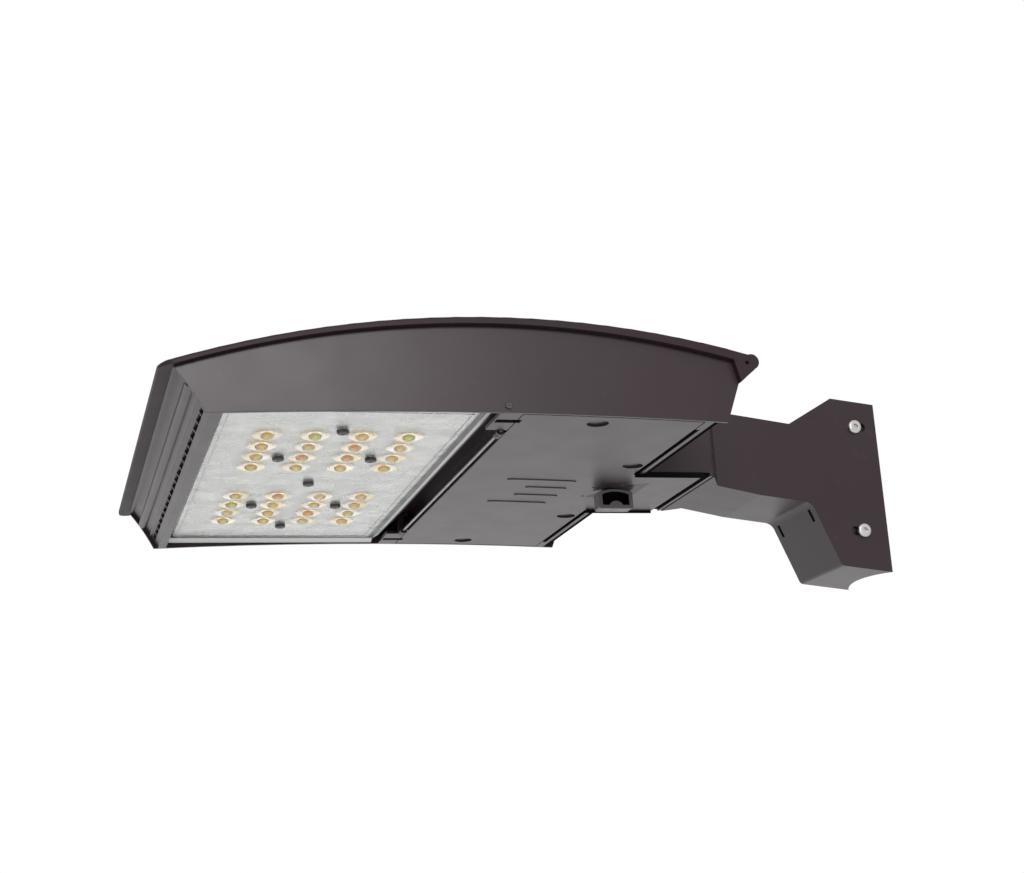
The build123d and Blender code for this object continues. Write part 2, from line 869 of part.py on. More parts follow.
def make_lens_border():
    """Bars along the two sides and the hinge side of the lens, under the ledges that hold it."""
    edge_y = lens_half + gap
    edge_x = lens_rear_x - gap
    side = along([(edge_y, lens_z), (inner_half, border_edge_z), (inner_half, ledge_edge_z),
                  (inner_half - bezel_side_width, ledge_tip_z), (edge_y, lens_top)],
                 edge_x, bezel_front_x)
    tip_x = optic_rear_x - border_reach
    slope = (sink_z - 1 - crossbar_z) / (optic_rear_x - partition_x - 1)
    bar = side_polygon([(edge_x, lens_z), (tip_x, lens_z + border_tip_rise),
                        (tip_x, crossbar_z + border_reach * slope), (optic_rear_x, crossbar_z),
                        (edge_x, lens_top)])
    return both_sides(side) + [across(bar, -lens_half, lens_half)]


def make_led_board(side):
    low, high = sorted((side * board_split / 2, side * (lens_half - board_inset)))
    board = block(lens_rear_x + board_inset, lens_front_x - board_inset, low, high, board_z, sink_z)
    for x, y in lens_screw_points():
        board -= rod_z(lens_shank_radius + gap, board_z, sink_z, x, y)
    return board


def make_led_emitters():
    side = emitter_side / 2
    return [block(x - side, x + side, y - side, y + side, emitter_z, board_z)
            for x, y in emitter_points()]


def make_lens_screws():
    length = sink_top - lens_z - screw_tip_gap
    screw = pan_screw(lens_shank_radius, lens_head_radius, lens_head_height, length)
    return [Pos(x, y, lens_z) * Rot(180, 0, 0) * screw for x, y in lens_screw_points()]


def make_cover_screws():
    length = cover_ear_height + wall - screw_tip_gap
    screw = pan_screw(small_shank, small_head_radius, small_head_height, length)
    return [Pos(x, y, seat_z(x) - cover_ear_height) * Rot(180, 0, 0) * screw
            for x, y in cover_screw_points()]


def hinge_screw_points():
    y = bracket_y + hinge_screw_reach
    return [(hinge_x + way * hinge_screw_half, side * y) for side in (-1, 1) for way in (-1, 1)]


def make_hinge_rod():
    return rod_y(hinge_rod_radius, -hinge_rod_length / 2, hinge_rod_length / 2, hinge_x, hinge_z)


def make_hinge_brackets():
    half = bracket_width / 2
    foot_z = groove_roof_z - wall
    leg = block(hinge_x - half, hinge_x + half, bracket_y, bracket_y + bracket_thickness, hinge_z, foot_z)
    leg += rod_y(half, bracket_y, bracket_y + bracket_thickness, hinge_x, hinge_z)
    foot = block(hinge_x - bracket_foot_width / 2, hinge_x + bracket_foot_width / 2, bracket_y,
                 bracket_y + bracket_foot, foot_z, groove_roof_z)
    bracket = leg + foot - rod_y(hinge_rod_radius + thread_gap, 0, half_width, hinge_x, hinge_z)
    for x, y in hinge_screw_points():
        bracket -= rod_z(small_shank + gap, foot_z, groove_roof_z, x, abs(y))
    return both_sides(bracket)


def make_hinge_screws():
    length = wall * 2 - screw_tip_gap
    screw = pan_screw(small_shank, small_head_radius, small_head_height, length)
    return [Pos(x, y, groove_roof_z - wall) * Rot(180, 0, 0) * screw for x, y in hinge_screw_points()]


def make_side_screws():
    screw = pan_screw(side_screw_radius, side_screw_head, side_screw_head_height, side_screw_length)
    x = hinge_x + side_screw_offset
    near = Pos(x, half_width, side_screw_z) * Rot(-90, 0, 0) * screw
    return both_sides(near)


def recess_points():
    points = []
    for side in (-1, 1):
        points.append((recess_front_x, side * recess_front_y))
        points.append((recess_rear_x, side * recess_rear_y))
    return points


def door_skin():
    main = arc_slab(rim_circle, door_rear_x, door_front_x, 0, door_thickness)
    skin = across(main, -door_half, door_half)
    curved = arc_slab(rim_circle, 0, door_rear_x + 1, 0, door_thickness)
    skin += across(curved, -tongue_half_width, tongue_half_width)
    return skin + block(tongue_end_x, 0, -tongue_half_width, tongue_half_width, 0, door_thickness)


def land_ring(inset, width, z0, z1):
    """Ring above the door, set in from the outline of the raised land."""
    rear = door_land_rear_x + inset
    front = door_land_front_x - inset
    half = door_land_half - inset
    outer = block(rear, front, -half, half, z0, z1)
    return outer - block(rear + width, front - width, width - half, half - width, z0, z1)


def door_land():
    """Ring that stands on the door's inner face and carries its gasket."""
    land = land_ring(0, door_land_width, door_thickness / 2, door_land_height)
    above_skin = arc_slab(rim_circle, 0, hinge_x, door_thickness / 2, far / 4)
    return land & across(above_skin, -door_land_half, door_land_half)


def door_knuckle():
    inner = knuckle_y
    outer = knuckle_y + knuckle_length
    root_x = door_front_x - knuckle_root
    low = rim_z(door_front_x)
    arm = block(root_x, hinge_x, inner, outer, low + knuckle_lift, low + door_thickness)
    return arm + rod_y(knuckle_radius, inner, outer, hinge_x, hinge_z)


def scoop():
    """Soft hollow in front of the latch, wide enough for the grip's crown as it slides."""
    x = grip_x + (grip_length + latch_travel) / 2
    roof = rim_z(x) + scoop_depth
    long_radius = arch_radius(scoop_length, scoop_depth)
    wide_radius = arch_radius(scoop_width, scoop_depth)
    lengthwise = rod_x(long_radius, x - scoop_width, x + scoop_width, grip_front_y, roof - long_radius)
    return lengthwise & rod_y(wide_radius, -scoop_length, scoop_length, x, roof - wide_radius)


def make_driver_door():
    door = door_skin() + door_land()
    for knuckle in both_sides(door_knuckle()):
        door += knuckle
    for x, y in recess_points():
        low = rim_z(x)
        boss_top = low + door_thickness + recess_boss_height
        door += rod_z(recess_boss_radius, low + door_thickness / 2, boss_top, x, y)
        door -= rod_z(recess_radius, low - wall, low + recess_depth, x, y)
    door -= rod_y(hinge_rod_radius + running_gap, -half_width, half_width, hinge_x, hinge_z)
    pad_x = (grip_x - wall, grip_x + grip_length + wall)
    pad_y = (scoop_pad_y, grip_front_y + scoop_length / 2 + wall)
    door += block(*pad_x, *pad_y, door_thickness / 2, slide_z - gap)
    door -= scoop()
    slot_end = stem_x + stem_length + latch_travel + gap
    slot_half = stem_width / 2 + gap
    door -= block(stem_x - gap, slot_end, -slot_half, slot_half, -1, door_thickness * 3)
    for slot in both_sides(end_slot()):
        door -= slot
    spring_length = spring_turns * spring_pitch + spring_wire * 2
    post_x = spring_tab_x - gap * 2 - spring_length - spring_post_radius
    door += rod_z(spring_post_radius, door_thickness / 2, slide_z + slide_thickness, post_x, spring_y)
    for x, y in guide_screw_points():
        door -= rod_z(latch_shank + thread_gap, latch_hole_z, door_thickness * 2, x, y)
    return door


def make_door_gasket():
    inset = (door_land_width - gasket_side) / 2
    return land_ring(inset, gasket_side, door_land_height, door_land_height + gasket_height)


def guide_starts():
    return (guide_rear_x, guide_front_x)


def guide_seat_z(start):
    """Level of the door's inner face under the guide that starts at this x."""
    return door_thickness + (rim_z(start + guide_length) if start > 0 else 0)


def guide_screw_points():
    y = (guide_half_width + guide_block_half_width) / 2
    return [(x + guide_length / 2, side * y) for x in guide_starts() for side in (-1, 1)]


def make_latch_guides():
    guides = []
    for x in guide_starts():
        floor = guide_seat_z(x)
        end = x + guide_length
        top = floor + guide_height
        guide = block(x, end, -guide_block_half_width, guide_block_half_width, floor, top)
        guide += block(x, end, -guide_half_width, guide_half_width, floor, floor + guide_foot)
        guide -= block(x, end, -slide_half_width - gap, slide_half_width + gap, slide_z - gap,
                       slide_z + slide_thickness + gap)
        for screw_x, y in guide_screw_points():
            if x < screw_x < end:
                guide -= rod_z(latch_shank + gap, floor, floor + guide_foot, screw_x, y)
        guides.append(guide)
    return guides


def latch_screw(length):
    return pan_screw(latch_shank, latch_head_radius, latch_head_height, length)


def make_guide_screws():
    screw = latch_screw(guide_foot + latch_screw_depth)
    return [Pos(x, y, guide_seat_z(x - guide_length / 2) + guide_foot) * screw
            for x, y in guide_screw_points()]


def make_latch_slide():
    bar = block(slide_tip_x, slide_front_x, -slide_half_width, slide_half_width, slide_z,
                slide_z + slide_thickness)
    hole = block(stem_x, stem_x + stem_length, -stem_width / 2, stem_width / 2, 0, far / 4)
    tab = block(spring_tab_x, spring_tab_x + wall, spring_y - spring_radius, -slide_half_width / 2,
                slide_z, slide_z + slide_thickness)
    return bar - hole + tab


def make_latch_grip():
    """Finger pull: a short hood below the door, open towards the scoop, on a stem to the slide."""
    end_x = grip_x + grip_length
    centre_x = grip_x + grip_length / 2
    back_y = grip_front_y - grip_depth
    top = -grip_clearance
    crown = (centre_x, grip_crown)
    outer = side_face([arc((grip_x, top), crown, (end_x, top)), line((end_x, top), (end_x, -grip_low)),
                       line((end_x, -grip_low), (grip_x, -grip_low)), line((grip_x, -grip_low), (grip_x, top))])
    hood = across(outer, back_y, grip_front_y)
    hood = fillet(hood.edges().filter_by(Axis.Y).sort_by(Axis.Z)[:2], grip_round)
    left = grip_x + grip_wall
    right = end_x - grip_wall
    floor = grip_bar - grip_low
    inner = side_face([arc((left, top - grip_top), (centre_x, grip_crown - grip_top), (right, top - grip_top)),
                       line((right, top - grip_top), (right, floor)), line((right, floor), (left, floor)),
                       line((left, floor), (left, top - grip_top))])
    hood -= across(inner, back_y + grip_wall, grip_front_y + 1)
    half = grip_bump_length / 2
    bump = side_face([arc((centre_x - half, floor), (centre_x, floor + grip_bump_height),
                          (centre_x + half, floor)), line((centre_x + half, floor), (centre_x - half, floor))])
    hood += across(bump, grip_front_y - grip_bump_depth, grip_front_y)
    stem = block(stem_x, stem_x + stem_length, -stem_width / 2, stem_width / 2, 0,
                 slide_z + slide_thickness)
    return hood + stem


def make_latch_keeper():
    shelf_z = slide_z - gap - keeper_thickness
    half = keeper_half_width
    shelf = block(neck_end_x, neck_end_x + keeper_reach, -half, half, shelf_z, shelf_z + keeper_thickness)
    plate = block(neck_end_x, neck_end_x + keeper_thickness, -half, half, shelf_z, shelf_z + keeper_height)
    keeper = shelf + plate
    for y, z in keeper_screw_points():
        keeper -= rod_x(latch_shank + gap, neck_end_x, neck_end_x + keeper_thickness, y, z)
    return keeper


def make_keeper_screws():
    screw = latch_screw(wall + keeper_thickness - screw_tip_gap)
    x = neck_end_x + keeper_thickness
    return [Pos(x, y, z) * Rot(0, 90, 0) * screw for y, z in keeper_screw_points()]


def make_latch_spring():
    """Extension spring from a post on the door to the slide's tab."""
    length = spring_turns * spring_pitch
    helix = Helix(pitch=spring_pitch, height=length, radius=spring_radius - spring_wire)
    start = helix @ 0
    section = Plane(origin=start, z_dir=helix % 0) * Circle(spring_wire)
    coil = sweep(section, path=helix)
    return Pos(spring_tab_x - length - gap, spring_y, slide_z + slide_thickness / 2) * Rot(0, 90, 0) * coil


def make_gear_tray():
    tray = block(tray_rear_x, tray_front_x, -tray_half_width, tray_half_width, tray_z,
                 tray_z + tray_thickness)
    for x, y in tray_points() + driver_tab_points() + surge_tab_points():
        tray -= rod_z(small_shank + gap, tray_z, tray_z + tray_thickness, x, y)
    return tray


def make_tray_screws():
    screw = pan_screw(small_shank, small_head_radius, small_head_height, small_screw_depth - 1)
    return [Pos(x, y, tray_z) * Rot(180, 0, 0) * screw for x, y in tray_points()]


def driver_tab_points():
    end = driver_start_y + driver_length
    return [(driver_x + way * driver_tab_hole, y) for way in (-1, 1)
            for y in (driver_start_y - driver_tab / 2, end + driver_tab / 2)]


def surge_tab_points():
    near = driver_start_y - block_gap - block_length - surge_gap
    return [(driver_x, near - surge_length - driver_tab / 2)]


def make_led_driver():
    low = tray_z - driver_height
    end = driver_start_y + driver_length
    half = driver_width / 2
    case = block(driver_x - half, driver_x + half, driver_start_y, end, low, tray_z)
    case = fillet(case.edges().filter_by(Axis.Y), driver_round)
    tabs = block(driver_x - driver_tab_half, driver_x + driver_tab_half, driver_start_y - driver_tab,
                 end + driver_tab, tray_z - driver_tab_thickness, tray_z)
    driver = case + tabs
    for x, y in driver_tab_points():
        driver -= rod_z(small_shank + gap, tray_z - driver_tab_thickness, tray_z, x, y)
    return driver


def make_driver_screws():
    length = driver_tab_thickness + tray_thickness + screw_end
    screw = pan_screw(small_shank, small_head_radius, small_head_height, length)
    return [Pos(x, y, tray_z - driver_tab_thickness) * Rot(180, 0, 0) * screw
            for x, y in driver_tab_points() + surge_tab_points()]


def make_terminal_block():
    end = driver_start_y - block_gap
    half = block_width / 2
    low = tray_z - block_height
    body = block(driver_x - half, driver_x + half, end - block_length, end, low, tray_z)
    for index in range(3):
        x = driver_x + (index - 1) * lead_pitch
        y = end - block_length / 2
        for side in (-1, 1):
            body -= rod_z(terminal_bore, low, low + terminal_depth, x, y + side * terminal_row)
    return body


def make_surge_protector():
    end = driver_start_y - block_gap - block_length - surge_gap
    half = surge_width / 2
    low = tray_z - surge_height
    body = block(driver_x - half, driver_x + half, end - surge_length, end, low, tray_z)
    body = fillet(body.edges().filter_by(Axis.Z), surge_round)
    body += block(driver_x - surge_tab_half, driver_x + surge_tab_half, end - surge_length - driver_tab,
                  end - surge_length, tray_z - driver_tab_thickness, tray_z)
    for x, y in surge_tab_points():
        body -= rod_z(small_shank + gap, tray_z - driver_tab_thickness, tray_z, x, y)
    return body


def straight_leads(y0, y1):
    z = tray_z - lead_drop
    return [rod_y(lead_radius, y0, y1, driver_x + (index - 1) * lead_pitch, z) for index in range(3)]


def make_supply_leads():
    return straight_leads(driver_start_y - block_gap, driver_start_y)


def make_surge_leads():
    end = driver_start_y - block_gap - block_length
    return straight_leads(end - surge_gap, end)


def led_lead_ys():
    return [led_lead_y + side * led_lead_pitch / 2 for side in (-1, 1)]


def make_led_leads():
    """Two leads from the driver, through the partition and down to the board between two fins."""
    leads = []
    start_x = driver_x + driver_width / 2
    for y in led_lead_ys():
        route = FilletPolyline((start_x, y, led_lead_z), (led_lead_end_x, y, led_lead_z),
                               (led_lead_end_x, y, sink_z), radius=led_lead_turn)
        section = Plane(origin=route @ 0, z_dir=route % 0) * Circle(lead_radius)
        leads.append(sweep(section, path=route))
    return leads


def grooved_ring(x0, radius, bore, flange, y, z):
    """Rubber ring in a wall that starts at x0, with a flange on each side of it."""
    rim = grommet_flange_thickness
    ring = rod_x(radius - thread_gap, x0, x0 + wall, y, z)
    ring += rod_x(flange, x0 - rim, x0, y, z)
    ring += rod_x(flange, x0 + wall, x0 + wall + rim, y, z)
    return ring - rod_x(bore, x0 - rim, x0 + wall + rim, y, z)


def make_lead_grommet():
    return grooved_ring(partition_x, grommet_radius, grommet_bore, grommet_flange, led_lead_y, led_lead_z)


def make_entry_grommet():
    return grooved_ring(bulkhead_x, entry_radius, entry_bore, entry_flange, entry_y, entry_z)


def from_pole(corner):
    """Corner given by its distance from the arm's pole end, in the head's frame."""
    return (pole_end_x + corner[0], corner[1])


def arm_outline():
    return [
        (arm_front_x, arm_front_top_z), from_pole(arm_top_knee), from_pole(arm_top_notch),
        from_pole(arm_top_peak), (pole_end_x, arm_pole_top_z), (pole_end_x, arm_pole_bottom_z),
        from_pole(arm_heel), from_pole(arm_throat), from_pole(arm_under_knee),
        (arm_front_x, arm_front_bottom_z),
    ]


def side_bolt_points():
    return [from_pole(side_bolt_upper), from_pole(side_bolt_lower)]


def arm_bolt_points():
    return [(side * arm_bolt_y, z) for side in (-1, 1) for z in (arm_bolt_low_z, arm_bolt_high_z)]


def round_corner(shape, corner, radius):
    """Rounds the edge across the arm at one corner of its side view."""
    edges = [edge for edge in shape.edges().filter_by(Axis.Y)
             if math.dist((edge.center().X, edge.center().Z), corner) < same_place]
    return fillet(edges, radius)


def side_slots():
    places = zip(side_bolt_points(), (side_slot_upper_shift, side_slot_lower_shift))
    radius = side_bolt_radius + side_slot_clearance
    slots = []
    for (x, z), shift in places:
        half = side_slot_length / 2 - radius
        for end in (-half, half):
            slots.append(rod_y(radius, -arm_half_width - 1, arm_half_width + 1, x + shift + end, z))
        slots.append(block(x + shift - half, x + shift + half, -arm_half_width - 1, arm_half_width + 1,
                           z - radius, z + radius))
    return slots


def drain_slots():
    throat = from_pole(arm_throat)
    heel = from_pole(arm_heel)
    run = (heel[0] - throat[0], heel[1] - throat[1])
    length = math.hypot(*run)
    centre = (throat[0] + run[0] / length * drain_slot_down,
              throat[1] + run[1] / length * drain_slot_down)
    tilt = math.degrees(math.atan2(run[0], run[1]))
    cut = Box(arm_wall * 4, drain_slot_width, drain_slot_length)
    return [Pos(centre[0], side * drain_slot_y, centre[1]) * Rot(0, tilt, 0) * cut for side in (-1, 1)]


def make_arm():
    profile = side_polygon(arm_outline())
    body = across(profile, -arm_half_width, arm_half_width)
    body = round_corner(body, from_pole(arm_heel), arm_heel_round)
    body = round_corner(body, from_pole(arm_throat), arm_throat_round)
    flare = make_face(Polyline((arm_front_x, -neck_half_width), (arm_front_x, neck_half_width),
                               (arm_front_x - flare_length, arm_half_width),
                               (arm_front_x - flare_length, -arm_half_width), close=True))
    wedge = extrude(Pos(0, 0, -far / 2) * flare, amount=far)
    body += across(profile, -neck_half_width, neck_half_width) & wedge
    inner = offset(profile, amount=-arm_wall)
    hollow = across(inner, -arm_half_width + arm_wall, arm_half_width - arm_wall)
    inner_half_arm = arm_half_width - arm_wall
    lip = arm_wall + arm_mouth_lip
    mouth = block(pole_end_x - 1, pole_end_x + lip, -inner_half_arm, inner_half_arm,
                  arm_pole_bottom_z + lip, arm_pole_top_z - lip)
    body -= hollow + mouth
    body -= rod_z(pole_radius, arm_pole_bottom_z - far, arm_top_peak[1] + far, pole_axis_x, 0)
    body -= rod_x(wire_hole_radius, arm_front_x - arm_wall * 2, arm_front_x, 0, wire_hole_z)
    bolt_tip_x = neck_end_x - arm_bolt_length - arm_bolt_tip_gap
    for y, z in arm_bolt_points():
        body -= rod_x(arm_bolt_radius + thread_gap, bolt_tip_x, arm_front_x, y, z)
    for slot in side_slots() + drain_slots():
        body -= slot
    return body


def make_neck_gasket():
    half = neck_half_width - gap
    sheet = block(arm_front_x, neck_outer_end, -half, half, gap, arm_front_top_z - gap)
    sheet -= rod_x(wire_hole_radius, arm_front_x, neck_outer_end, 0, wire_hole_z)
    for y, z in arm_bolt_points():
        sheet -= rod_x(arm_bolt_radius + gap, arm_front_x, neck_outer_end, y, z)
    return sheet


def make_arm_bolts():
    bolt = socket_bolt(arm_bolt_radius, arm_bolt_head_radius, arm_bolt_head_height, arm_bolt_length,
                       arm_bolt_socket)
    return [Pos(neck_end_x, y, z) * Rot(0, 90, 0) * bolt for y, z in arm_bolt_points()]


def socket_bolt(radius, head_radius, head_height, length, socket):
    """Hex-socket bolt with its head's seat at z = 0, its head above and its shank below."""
    head = Pos(0, 0, head_height / 2) * Cylinder(head_radius, head_height)
    head = fillet(head.edges().sort_by(Axis.Z)[-1], head_height * bolt_round_share)
    shank = Pos(0, 0, -length / 2) * Cylinder(radius, length)
    floor = head_height * socket_floor_share
    hexagon = extrude(Pos(0, 0, floor) * RegularPolygon(socket, 6), amount=head_height)
    return head + shank - hexagon


def make_side_bolts():
    bolt = socket_bolt(side_bolt_radius, side_bolt_head_radius, side_bolt_head_height, side_bolt_length,
                       side_bolt_socket)
    bolts = []
    for x, z in side_bolt_points():
        bolts += both_sides(Pos(x, arm_half_width, z) * Rot(-90, 0, 0) * bolt)
    return bolts


def make_clamp_nuts():
    inner = arm_half_width - arm_wall - gap - bracket_plate
    hexagon = RegularPolygon(nut_flats / 2 / math.cos(math.pi / 6), 6)
    nut = extrude(hexagon, amount=nut_height) - Cylinder(side_bolt_radius + thread_gap, far)
    nuts = []
    for x, z in side_bolt_points():
        nuts += both_sides(Pos(x, inner, z) * Rot(90, 0, 0) * nut)
    return nuts


def make_pole_bracket():
    outer = arm_half_width - arm_wall - gap
    inner = outer - bracket_plate
    channel = block(pole_end_x, bracket_front_x, -outer, outer, bracket_bottom_z, bracket_top_z)
    channel -= block(pole_end_x - 1, bracket_front_x + 1, -inner, inner, bracket_bottom_z - 1,
                     bracket_top_z + 1)
    height = bracket_top_z - bracket_bottom_z
    saddle = rod_z(pole_radius + saddle_thickness, bracket_bottom_z, bracket_top_z, pole_axis_x, 0)
    saddle = saddle & block(pole_end_x, pole_end_x + height, -outer, outer, bracket_bottom_z, bracket_top_z)
    bracket = channel + saddle
    bracket -= rod_z(pole_radius, bracket_bottom_z - 1, bracket_top_z + 1, pole_axis_x, 0)
    reach = pole_face_x + pole_bolt_hole_depth
    for side in (-1, 1):
        z = bracket_centre_z + side * pole_bolt_spacing / 2
        bracket -= rod_x(pole_bolt_hole, pole_end_x, reach, 0, z)
    bracket -= rod_x(pole_wire_hole, pole_end_x, reach, 0, bracket_centre_z)
    for x, z in side_bolt_points():
        bracket -= rod_y(side_bolt_radius + thread_gap, -outer - 1, outer + 1, x, z)
    return bracket


def save(name, shape):
    solids = shape if isinstance(shape, list) else [shape]
    moved = []
    for piece in solids:
        for solid in piece.solids():
            moved.append(Pos(arm_reach, 0, -head_drop) * solid)
    whole = moved[0] if len(moved) == 1 else Compound(moved)
    export_step(whole, "parts/" + name + ".step")


save("top_cover", make_top_cover())
save("housing", make_housing())
save("cover_screws", make_cover_screws())
save("heat_sink", make_heat_sink())
save("sink_screws", make_sink_screws())
save("led_board_near", make_led_board(1))
save("led_board_far", make_led_board(-1))
save("led_emitters", make_led_emitters())
save("lens_gasket", make_lens_gasket())
save("lens_border", make_lens_border())
save("lens_plate", make_lens_plate())
save("lens_screws", make_lens_screws())
save("hinge_rod", make_hinge_rod())
save("hinge_brackets", make_hinge_brackets())
save("hinge_screws", make_hinge_screws())
save("side_screws", make_side_screws())
save("driver_door", make_driver_door())
save("door_gasket", make_door_gasket())
save("latch_guides", make_latch_guides())
save("guide_screws", make_guide_screws())
save("latch_slide", make_latch_slide())
save("latch_grip", make_latch_grip())
save("latch_spring", make_latch_spring())
save("latch_keeper", make_latch_keeper())
save("keeper_screws", make_keeper_screws())
save("gear_tray", make_gear_tray())
save("tray_screws", make_tray_screws())
save("led_driver", make_led_driver())
save("driver_screws", make_driver_screws())
save("terminal_block", make_terminal_block())
save("surge_protector", make_surge_protector())
save("supply_leads", make_supply_leads())
save("surge_leads", make_surge_leads())
save("led_leads", make_led_leads())
save("lead_grommet", make_lead_grommet())
save("entry_grommet", make_entry_grommet())
save("arm", make_arm())
save("neck_gasket", make_neck_gasket())
save("arm_bolts", make_arm_bolts())
save("pole_bracket", make_pole_bracket())
save("side_bolts", make_side_bolts())
save("clamp_nuts", make_clamp_nuts())
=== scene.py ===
import math

import bmesh
import bpy
from mathutils import Matrix, Vector


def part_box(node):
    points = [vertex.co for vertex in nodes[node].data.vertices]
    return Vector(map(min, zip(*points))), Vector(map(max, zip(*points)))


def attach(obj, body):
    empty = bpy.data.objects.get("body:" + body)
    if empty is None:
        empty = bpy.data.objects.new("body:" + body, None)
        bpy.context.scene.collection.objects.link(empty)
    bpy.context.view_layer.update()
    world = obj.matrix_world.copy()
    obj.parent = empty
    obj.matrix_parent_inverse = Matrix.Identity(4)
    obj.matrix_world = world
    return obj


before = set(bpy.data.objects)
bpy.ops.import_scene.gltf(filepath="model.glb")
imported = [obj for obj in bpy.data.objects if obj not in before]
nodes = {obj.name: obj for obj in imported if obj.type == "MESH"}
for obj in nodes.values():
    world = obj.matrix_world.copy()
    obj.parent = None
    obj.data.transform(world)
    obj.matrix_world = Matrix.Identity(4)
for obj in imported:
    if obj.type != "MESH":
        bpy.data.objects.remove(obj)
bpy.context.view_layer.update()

MM = 0.001


# Materials

NOISE_GRAIN = 0.55
NOISE_LOW = 0.3
NOISE_HIGH = 0.7
BEVEL_SAMPLES = 4

# Places of the Mix node's colour sockets
MIX_SHARE, MIX_FIRST, MIX_SECOND, MIX_RESULT = 0, 6, 7, 2


class Paint:
    """A node material whose details are read from the object's own coordinates."""

    def __init__(self, name, color, rough, metallic=0.0, **sockets):
        self.mat = bpy.data.materials.new(name)
        self.mat.use_nodes = True
        self.tree = self.mat.node_tree
        self.shader = self.tree.nodes["Principled BSDF"]
        self.place = self.tree.nodes.new("ShaderNodeTexCoord").outputs["Object"]
        self.color = color
        self.rough = rough
        self.shader.inputs["Base Color"].default_value = (*color, 1.0)
        self.shader.inputs["Roughness"].default_value = rough
        self.shader.inputs["Metallic"].default_value = metallic
        for key, value in sockets.items():
            self.shader.inputs[key.replace("_", " ")].default_value = value

    def node(self, kind, links=(), values=(), **props):
        made = self.tree.nodes.new("ShaderNode" + kind)
        for key, value in props.items():
            setattr(made, key, value)
        for key, value in dict(values).items():
            made.inputs[key].default_value = value
        for key, source in dict(links).items():
            self.tree.links.new(source, made.inputs[key])
        return made

    def link(self, source, socket):
        self.tree.links.new(source, self.shader.inputs[socket])

    def stretched(self, stretch):
        moved = self.node("Mapping", {"Vector": self.place}, {"Scale": stretch})
        return moved.outputs["Vector"]

    def height(self, low, high):
        """0 below one height of the object and 1 above another."""
        made = self.node("SeparateXYZ", {"Vector": self.place})
        return self.spread(made.outputs["Z"], low, high)

    def noise(self, scale, detail=3.0, stretch=None):
        place = self.place if stretch is None else self.stretched(stretch)
        made = self.node("TexNoise", {"Vector": place},
                         {"Scale": scale, "Detail": detail, "Roughness": NOISE_GRAIN})
        return made.outputs["Fac"]

    def spread(self, source, low, high, to_low=0.0, to_high=1.0):
        made = self.node("MapRange", {"Value": source},
                         {"From Min": low, "From Max": high, "To Min": to_low, "To Max": to_high})
        made.clamp = True
        return made.outputs["Result"]

    def sums(self, kind, a, b):
        made = self.tree.nodes.new("ShaderNodeMath")
        made.operation = kind
        for socket, value in zip(made.inputs, (a, b)):
            if isinstance(value, float):
                socket.default_value = value
            else:
                self.tree.links.new(value, socket)
        return made.outputs["Value"]

    def blend(self, share, a, b):
        made = self.node("Mix", data_type="RGBA")
        for index, value in ((MIX_SHARE, share), (MIX_FIRST, a), (MIX_SECOND, b)):
            if isinstance(value, (tuple, list)):
                made.inputs[index].default_value = (*value, 1.0)
            elif isinstance(value, float):
                made.inputs[index].default_value = value
            else:
                self.tree.links.new(value, made.inputs[index])
        return made.outputs[MIX_RESULT]

    def patches(self, scale, low, high, share=1.0, detail=3.0):
        """0 where the noise is below low, rising to share where it is above high."""
        return self.spread(self.noise(scale, detail), low, high, to_high=share)

    def tint(self, share, other):
        """Blends the base colour towards another by a share."""
        self.color = self.blend(share, self.color, other)
        self.link(self.color, "Base Color")
        return self

    def gloss(self, source, low, high):
        """Lets the roughness wander between two values."""
        self.link(self.spread(source, NOISE_LOW, NOISE_HIGH, low, high), "Roughness")
        return self

    def bump(self, height, distance):
        links = {"Height": height}
        if self.shader.inputs["Normal"].is_linked:
            links["Normal"] = self.shader.inputs["Normal"].links[0].from_socket
        made = self.node("Bump", links, {"Distance": distance})
        self.link(made.outputs["Normal"], "Normal")
        return self

    def round_edges(self, radius):
        made = self.node("Bevel", {}, {"Radius": radius}, samples=BEVEL_SAMPLES)
        self.link(made.outputs["Normal"], "Normal")
        return self


# Heights above the lowest point of the lens, where a colour changes
LENS_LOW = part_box("lens_plate")[0].z
DOME_DEEP = LENS_LOW + 2.4 * MM
DOME_FLAT = LENS_LOW + 3.2 * MM
SCREW_SEAT = LENS_LOW + 4.2 * MM
SCREW_FADE = 0.5 * MM

STEEL_GRAIN = 260.0
STEEL_GRIME = (0.2, 0.17, 0.14)


def make_bronze(name, rough, **sockets):
    """Dark bronze powder coat with slight mottling, specks of dust and orange peel."""
    paint = Paint(name, (0.024, 0.013, 0.016), rough, IOR=1.45, **sockets)
    paint.round_edges(0.7 * MM)
    paint.tint(paint.patches(7.0, 0.35, 0.7, detail=4.0), (0.027, 0.015, 0.018))
    paint.tint(paint.patches(90.0, 0.62, 0.8, share=0.25, detail=5.0), (0.06, 0.05, 0.046))
    paint.gloss(paint.noise(26.0, 5.0), rough - 0.015, rough + 0.02)
    paint.bump(paint.noise(420.0, 2.0), 0.02 * MM)
    return paint


def make_board_paint():
    """White solder mask over faint tracks and pads."""
    paint = Paint("white_board", (0.8, 0.81, 0.8), 0.35)
    tracks = paint.node("TexBrick", {"Vector": paint.place},
                        {"Scale": 36.0, "Mortar Size": 0.03, "Color1": (1, 1, 1, 1),
                         "Color2": (0.8, 0.8, 0.8, 1), "Mortar": (0, 0, 0, 1)})
    lines = paint.spread(tracks.outputs["Fac"], 0.4, 0.6)
    paint.tint(paint.sums("MULTIPLY", lines, 0.35), (0.5, 0.52, 0.52))
    paint.tint(paint.patches(60.0, 0.55, 0.75, share=0.4), (0.62, 0.64, 0.63))
    paint.gloss(paint.noise(60.0), 0.28, 0.42)
    return paint


